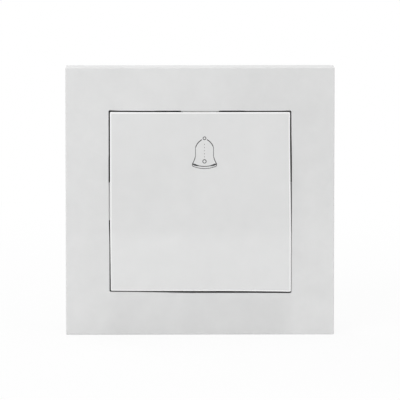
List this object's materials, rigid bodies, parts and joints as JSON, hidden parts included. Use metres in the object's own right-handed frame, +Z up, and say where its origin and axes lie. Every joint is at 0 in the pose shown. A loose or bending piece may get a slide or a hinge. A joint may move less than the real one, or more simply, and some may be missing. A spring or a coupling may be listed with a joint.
{
  "type": "doorbell switch",
  "caption": "Flush wall bell push: a square white frame around a large rocker key with a bell symbol, on a wall-box insert with spreading claws and screw terminals.",
  "frame": {"origin": "centre of the back of the mounting yoke, on the wall's face", "axes": "+X right, +Z up and +Y into the wall, as seen from the room"},
  "size_m": [0.081, 0.0335, 0.081],
  "materials": {
    "white_plastic": "semi-gloss white",
    "insert_plastic": "satin off-white",
    "housing_plastic": "satin light grey",
    "ink": "printed grey",
    "plunger_plastic": "satin dark grey",
    "zinc_steel": "zinc plated",
    "spring_steel": "bright wire",
    "screw_steel": "zinc plated, bright",
    "brass": "plain",
    "contact_silver": "polished silver alloy"
  },
  "bodies": {
    "base": {"frame": "white_plastic", "mechanism_cover": "insert_plastic", "mounting_yoke": "zinc_steel", "mechanism_housing": "housing_plastic", "cover_screws": "screw_steel", "fixed_contacts": "contact_silver", "return_spring": "spring_steel", "contact_strip_left": "brass", "contact_strip_right": "brass", "terminal_block_left": "brass", "terminal_block_right": "brass", "claw_pin_top": "spring_steel", "claw_pin_bottom": "spring_steel"},
    "rocker": {"rocker_cap": "white_plastic", "bell_symbol": "ink", "rocker_lever": "insert_plastic"},
    "plunger_group": {"plunger": "plunger_plastic", "contact_bridge": "brass", "moving_contacts": "contact_silver"},
    "claw_screw_top": {"claw_screw_top": "screw_steel"},
    "claw_nut_top": {"claw_nut_top": "zinc_steel"},
    "claw_top": {"claw_top": "zinc_steel"},
    "claw_screw_bottom": {"claw_screw_bottom": "screw_steel"},
    "claw_nut_bottom": {"claw_nut_bottom": "zinc_steel"},
    "claw_bottom": {"claw_bottom": "zinc_steel"},
    "terminal_screw_left": {"terminal_screw_left": "screw_steel"},
    "terminal_screw_right": {"terminal_screw_right": "screw_steel"}
  },
  "joints": [
    {"name": "rocker_press", "type": "hinge", "parent": "base", "child": "rocker", "pos_m": [0, -0.0048, 0], "axis": [1, 0, 0], "range_deg": [0, 4.5], "stiffness_Nm_per_rad": 0.76, "springref_deg": -4.5},
    {"name": "plunger_slide", "type": "slide", "parent": "base", "child": "plunger_group", "axis": [0, 1, 0], "range_m": [0, 0.0011], "deforming": ["return_spring"]},
    {"name": "claw_nut_top_slide", "type": "slide", "parent": "base", "child": "claw_nut_top", "axis": [0, -1, 0], "range_m": [0, 0.00173]},
    {"name": "claw_screw_top_turn", "type": "hinge", "parent": "base", "child": "claw_screw_top", "pos_m": [0, 0, 0.0267], "axis": [0, 1, 0], "range_deg": [0, 1246]},
    {"name": "claw_top_swing", "type": "hinge", "parent": "base", "child": "claw_top", "pos_m": [0, 0.004, 0.0222], "axis": [1, 0, 0], "range_deg": [0, 22]},
    {"name": "claw_nut_bottom_slide", "type": "slide", "parent": "base", "child": "claw_nut_bottom", "axis": [0, -1, 0], "range_m": [0, 0.00173]},
    {"name": "claw_screw_bottom_turn", "type": "hinge", "parent": "base", "child": "claw_screw_bottom", "pos_m": [0, 0, -0.0267], "axis": [0, 1, 0], "range_deg": [0, 1246]},
    {"name": "claw_bottom_swing", "type": "hinge", "parent": "base", "child": "claw_bottom", "pos_m": [0, 0.004, -0.0222], "axis": [-1, 0, 0], "range_deg": [0, 22]},
    {"name": "terminal_screw_left_feed", "type": "slide", "parent": "base", "child": "terminal_screw_left", "axis": [0, 0, -1], "range_m": [0, 0.0024]},
    {"name": "terminal_screw_right_feed", "type": "slide", "parent": "base", "child": "terminal_screw_right", "axis": [0, 0, -1], "range_m": [0, 0.0024]}
  ],
  "couplings": [
    {"joint": "plunger_slide", "follows": "rocker_press", "m_per_rad": 0.014},
    {"joint": "claw_screw_top_turn", "follows": "claw_nut_top_slide", "rad_per_m": 12566},
    {"joint": "claw_top_swing", "follows": "claw_nut_top_slide", "rad_per_m": 221.9},
    {"joint": "claw_screw_bottom_turn", "follows": "claw_nut_bottom_slide", "rad_per_m": 12566},
    {"joint": "claw_bottom_swing", "follows": "claw_nut_bottom_slide", "rad_per_m": 221.9}
  ]
}
